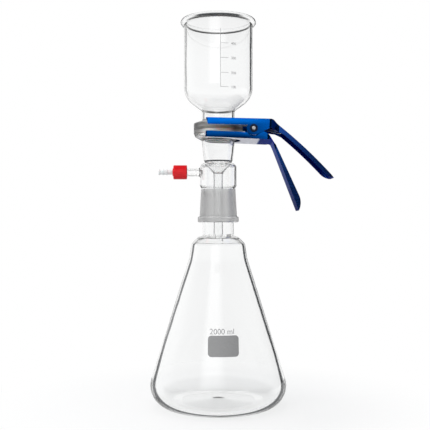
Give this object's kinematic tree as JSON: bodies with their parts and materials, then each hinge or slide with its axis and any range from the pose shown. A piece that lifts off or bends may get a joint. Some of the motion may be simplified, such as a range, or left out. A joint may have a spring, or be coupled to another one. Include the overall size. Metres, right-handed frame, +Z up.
{
  "type": "vacuum filtration unit",
  "caption": "Glass vacuum filtration unit: conical flask with a ground joint, jacketed filter base with a side hose nozzle, cylindrical funnel and a spring clamp with two levers.",
  "frame": {"origin": "centre of the foot ring that the flask stands on, on the common axis of the glassware", "axes": "+Z up along the glass axis, +X towards the clamp's handles, -X along the vacuum side arm"},
  "size_m": [0.223, 0.1664, 0.4726],
  "materials": {
    "clear_glass": "clear borosilicate, ground at the joint and on the flanges",
    "sintered_glass": "white porous sintered glass",
    "red_plastic": "moulded, satin gloss",
    "white_plastic": "moulded, translucent white",
    "silicone": "matt",
    "blue_aluminium": "blue anodised, satin",
    "steel": "bright plated",
    "spring_steel": "bright drawn"
  },
  "bodies": {
    "glassware": {"flask": "clear_glass", "filter_base": "clear_glass", "frit_disc": "sintered_glass", "funnel": "clear_glass", "clamp_lower_lever": "blue_aluminium", "pivot_pin": "steel", "retaining_ring_front": "spring_steel", "retaining_ring_rear": "spring_steel", "torsion_spring": "spring_steel"},
    "upper_jaw": {"clamp_upper_lever": "blue_aluminium"},
    "nozzle": {"hose_nozzle": "white_plastic", "nozzle_seal": "silicone"},
    "cap": {"screw_cap": "red_plastic"}
  },
  "joints": [
    {"name": "clamp_open", "type": "hinge", "parent": "glassware", "child": "upper_jaw", "pos_m": [0.042, 0, 0.3364], "axis": [0, 1, 0], "range_deg": [0, 16], "stiffness_Nm_per_rad": 1.2, "springref_deg": -22.92, "deforming": ["torsion_spring"]},
    {"name": "nozzle_slide", "type": "slide", "parent": "glassware", "child": "nozzle", "axis": [-1, 0, 0], "range_m": [0, 0.0076]},
    {"name": "cap_turn", "type": "hinge", "parent": "nozzle", "child": "cap", "pos_m": [-0.0466, 0, 0.286], "axis": [-1, 0, 0], "range_deg": [0, 1080]}
  ],
  "couplings": [
    {"joint": "nozzle_slide", "follows": "cap_turn", "m_per_rad": 0.00039789}
  ]
}
